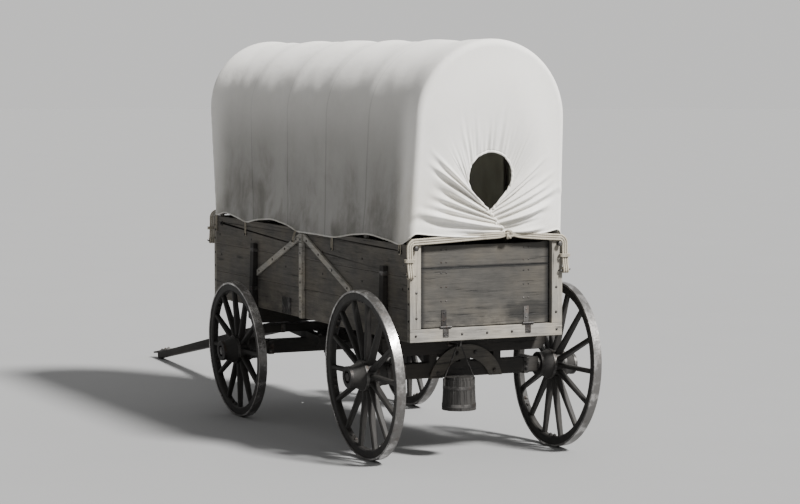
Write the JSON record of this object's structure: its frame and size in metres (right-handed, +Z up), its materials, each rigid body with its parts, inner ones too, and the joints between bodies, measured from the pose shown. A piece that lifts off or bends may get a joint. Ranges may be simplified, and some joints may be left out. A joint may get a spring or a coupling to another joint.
{
  "type": "covered wagon",
  "caption": "Wooden freight wagon with a round canvas cover on bent bows, spoked wheels, a steering front gear, a tongue and a hanging tar bucket.",
  "frame": {"origin": "on the ground on the centre line, half way between the back of the rear wheels and the tip of the draw eye", "axes": "+X forward along the tongue, +Y to the wagon's left, +Z up"},
  "size_m": [7.0524, 1.8468, 3],
  "materials": {
    "canvas": "soft weathered cotton duck",
    "box_wood": "weathered grey boards",
    "frame_wood": "pale worn sills and posts",
    "gear_wood": "dark oiled running gear",
    "iron": "dark forged iron",
    "tyre_iron": "worn iron tread",
    "bucket_wood": "tarred staves"
  },
  "bodies": {
    "wagon": {"rear_axle": "gear_wood", "rear_axle_arms": "iron", "rear_bolster": "gear_wood", "bolster_stakes": "gear_wood", "rear_hounds": "gear_wood", "reach": "gear_wood", "front_bolster": "gear_wood", "king_bolt": "iron", "arch_brace": "gear_wood", "bucket_arm": "iron", "end_sills": "frame_wood", "cross_sills": "box_wood", "floor_boards": "box_wood", "side_boards": "box_wood", "corner_posts": "frame_wood", "side_braces": "frame_wood", "head_boards": "box_wood", "box_irons": "iron", "bows": "frame_wood", "ridge_pole": "frame_wood", "cover_sheet": "canvas", "cover_rear_end": "canvas", "cover_front_end": "canvas"},
    "front_gear": {"front_axle": "gear_wood", "front_axle_arms": "iron", "sand_board": "gear_wood", "wear_plate": "iron", "front_hounds": "gear_wood", "sway_bar": "gear_wood", "tongue_pin": "iron"},
    "tongue": {"tongue": "gear_wood", "draw_eye": "iron"},
    "tailgate": {"tailgate_boards": "box_wood", "tailgate_battens": "box_wood", "tailgate_straps": "iron"},
    "bucket": {"tar_bucket": "bucket_wood", "bucket_hoops": "iron", "bucket_bail": "iron"},
    "rear_left_wheel": {"rear_left_hub": "gear_wood", "rear_left_hub_bands": "iron", "rear_left_spokes": "gear_wood", "rear_left_felloes": "gear_wood", "rear_left_tyre": "tyre_iron"},
    "rear_right_wheel": {"rear_right_hub": "gear_wood", "rear_right_hub_bands": "iron", "rear_right_spokes": "gear_wood", "rear_right_felloes": "gear_wood", "rear_right_tyre": "tyre_iron"},
    "front_left_wheel": {"front_left_hub": "gear_wood", "front_left_hub_bands": "iron", "front_left_spokes": "gear_wood", "front_left_felloes": "gear_wood", "front_left_tyre": "tyre_iron"},
    "front_right_wheel": {"front_right_hub": "gear_wood", "front_right_hub_bands": "iron", "front_right_spokes": "gear_wood", "front_right_felloes": "gear_wood", "front_right_tyre": "tyre_iron"}
  },
  "joints": [
    {"name": "rear_left_spin", "type": "hinge", "parent": "wagon", "child": "rear_left_wheel", "pos_m": [-2.91454, 0.78192, 0.60916], "axis": [0, 0.9986, -0.0523], "continuous": true},
    {"name": "rear_right_spin", "type": "hinge", "parent": "wagon", "child": "rear_right_wheel", "pos_m": [-2.91454, -0.78192, 0.60916], "axis": [0, 0.9986, 0.0523], "continuous": true},
    {"name": "front_left_spin", "type": "hinge", "parent": "front_gear", "child": "front_left_wheel", "pos_m": [-0.48454, 0.77826, 0.53926], "axis": [0, 0.9986, -0.0523], "continuous": true},
    {"name": "front_right_spin", "type": "hinge", "parent": "front_gear", "child": "front_right_wheel", "pos_m": [-0.48454, -0.77826, 0.53926], "axis": [0, 0.9986, 0.0523], "continuous": true},
    {"name": "steering", "type": "hinge", "parent": "wagon", "child": "front_gear", "pos_m": [-0.48454, 0, 0.63356], "axis": [0, 0, 1], "range_deg": [-15, 15]},
    {"name": "tongue_lift", "type": "hinge", "parent": "front_gear", "child": "tongue", "pos_m": [0.26546, 0, 0.63356], "axis": [0, -1, 0], "range_deg": [0, 45]},
    {"name": "tailgate_hinge", "type": "hinge", "parent": "wagon", "child": "tailgate", "pos_m": [-3.30554, 0, 0.97], "axis": [0, -1, 0], "range_deg": [0, 175]},
    {"name": "bucket_swing", "type": "hinge", "parent": "wagon", "child": "bucket", "pos_m": [-3.10954, 0.125, 0.808], "axis": [1, 0, 0], "range_deg": [-20, 20]}
  ]
}
